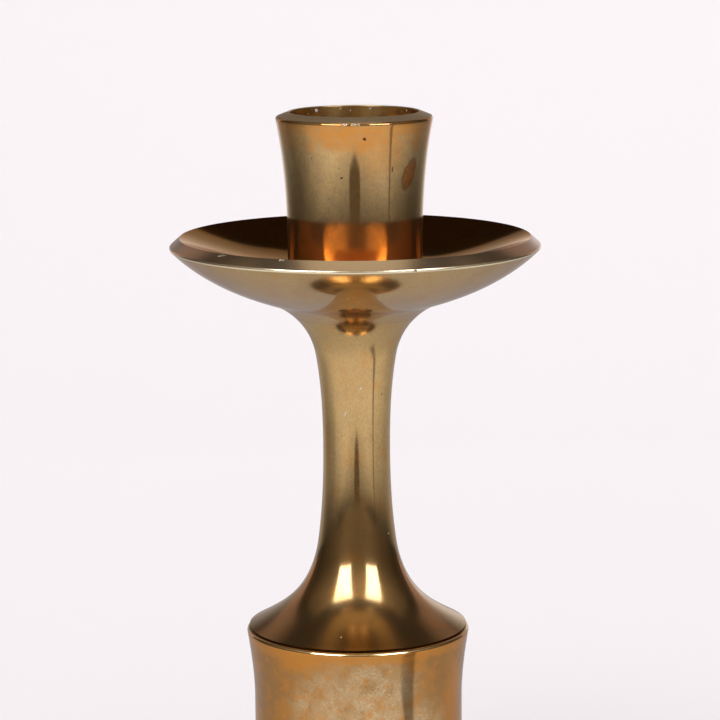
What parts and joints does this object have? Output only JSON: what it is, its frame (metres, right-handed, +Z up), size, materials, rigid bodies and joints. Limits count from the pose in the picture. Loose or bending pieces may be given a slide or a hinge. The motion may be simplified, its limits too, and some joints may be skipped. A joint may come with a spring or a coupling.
{
  "type": "candlestick",
  "caption": "Turned brass candlestick: flared socket for a table candle, shallow drip tray, slim waisted stem and a drum base on a felt pad.",
  "frame": {"origin": "centre of the felt pad's underside, where the candlestick stands", "axes": "+Z up along the turning axis; X and Y are any two directions across it, because the piece is round"},
  "size_m": [0.065, 0.065, 0.1399],
  "materials": {
    "cup_brass": "polished and tarnished",
    "tray_brass": "polished and tarnished",
    "stem_brass": "polished and tarnished",
    "drum_brass": "satin, with coppery tarnish",
    "rod_steel": "zinc plated",
    "fastener_steel": "zinc plated",
    "pad_felt": "pressed wool felt"
  },
  "bodies": {
    "root": {"candle_cup": "cup_brass", "drip_tray": "tray_brass", "stem": "stem_brass", "base_drum": "drum_brass", "tie_rod": "rod_steel", "flat_washer": "fastener_steel", "spring_washer": "fastener_steel", "hex_nut": "fastener_steel", "felt_pad": "pad_felt"}
  },
  "joints": []
}
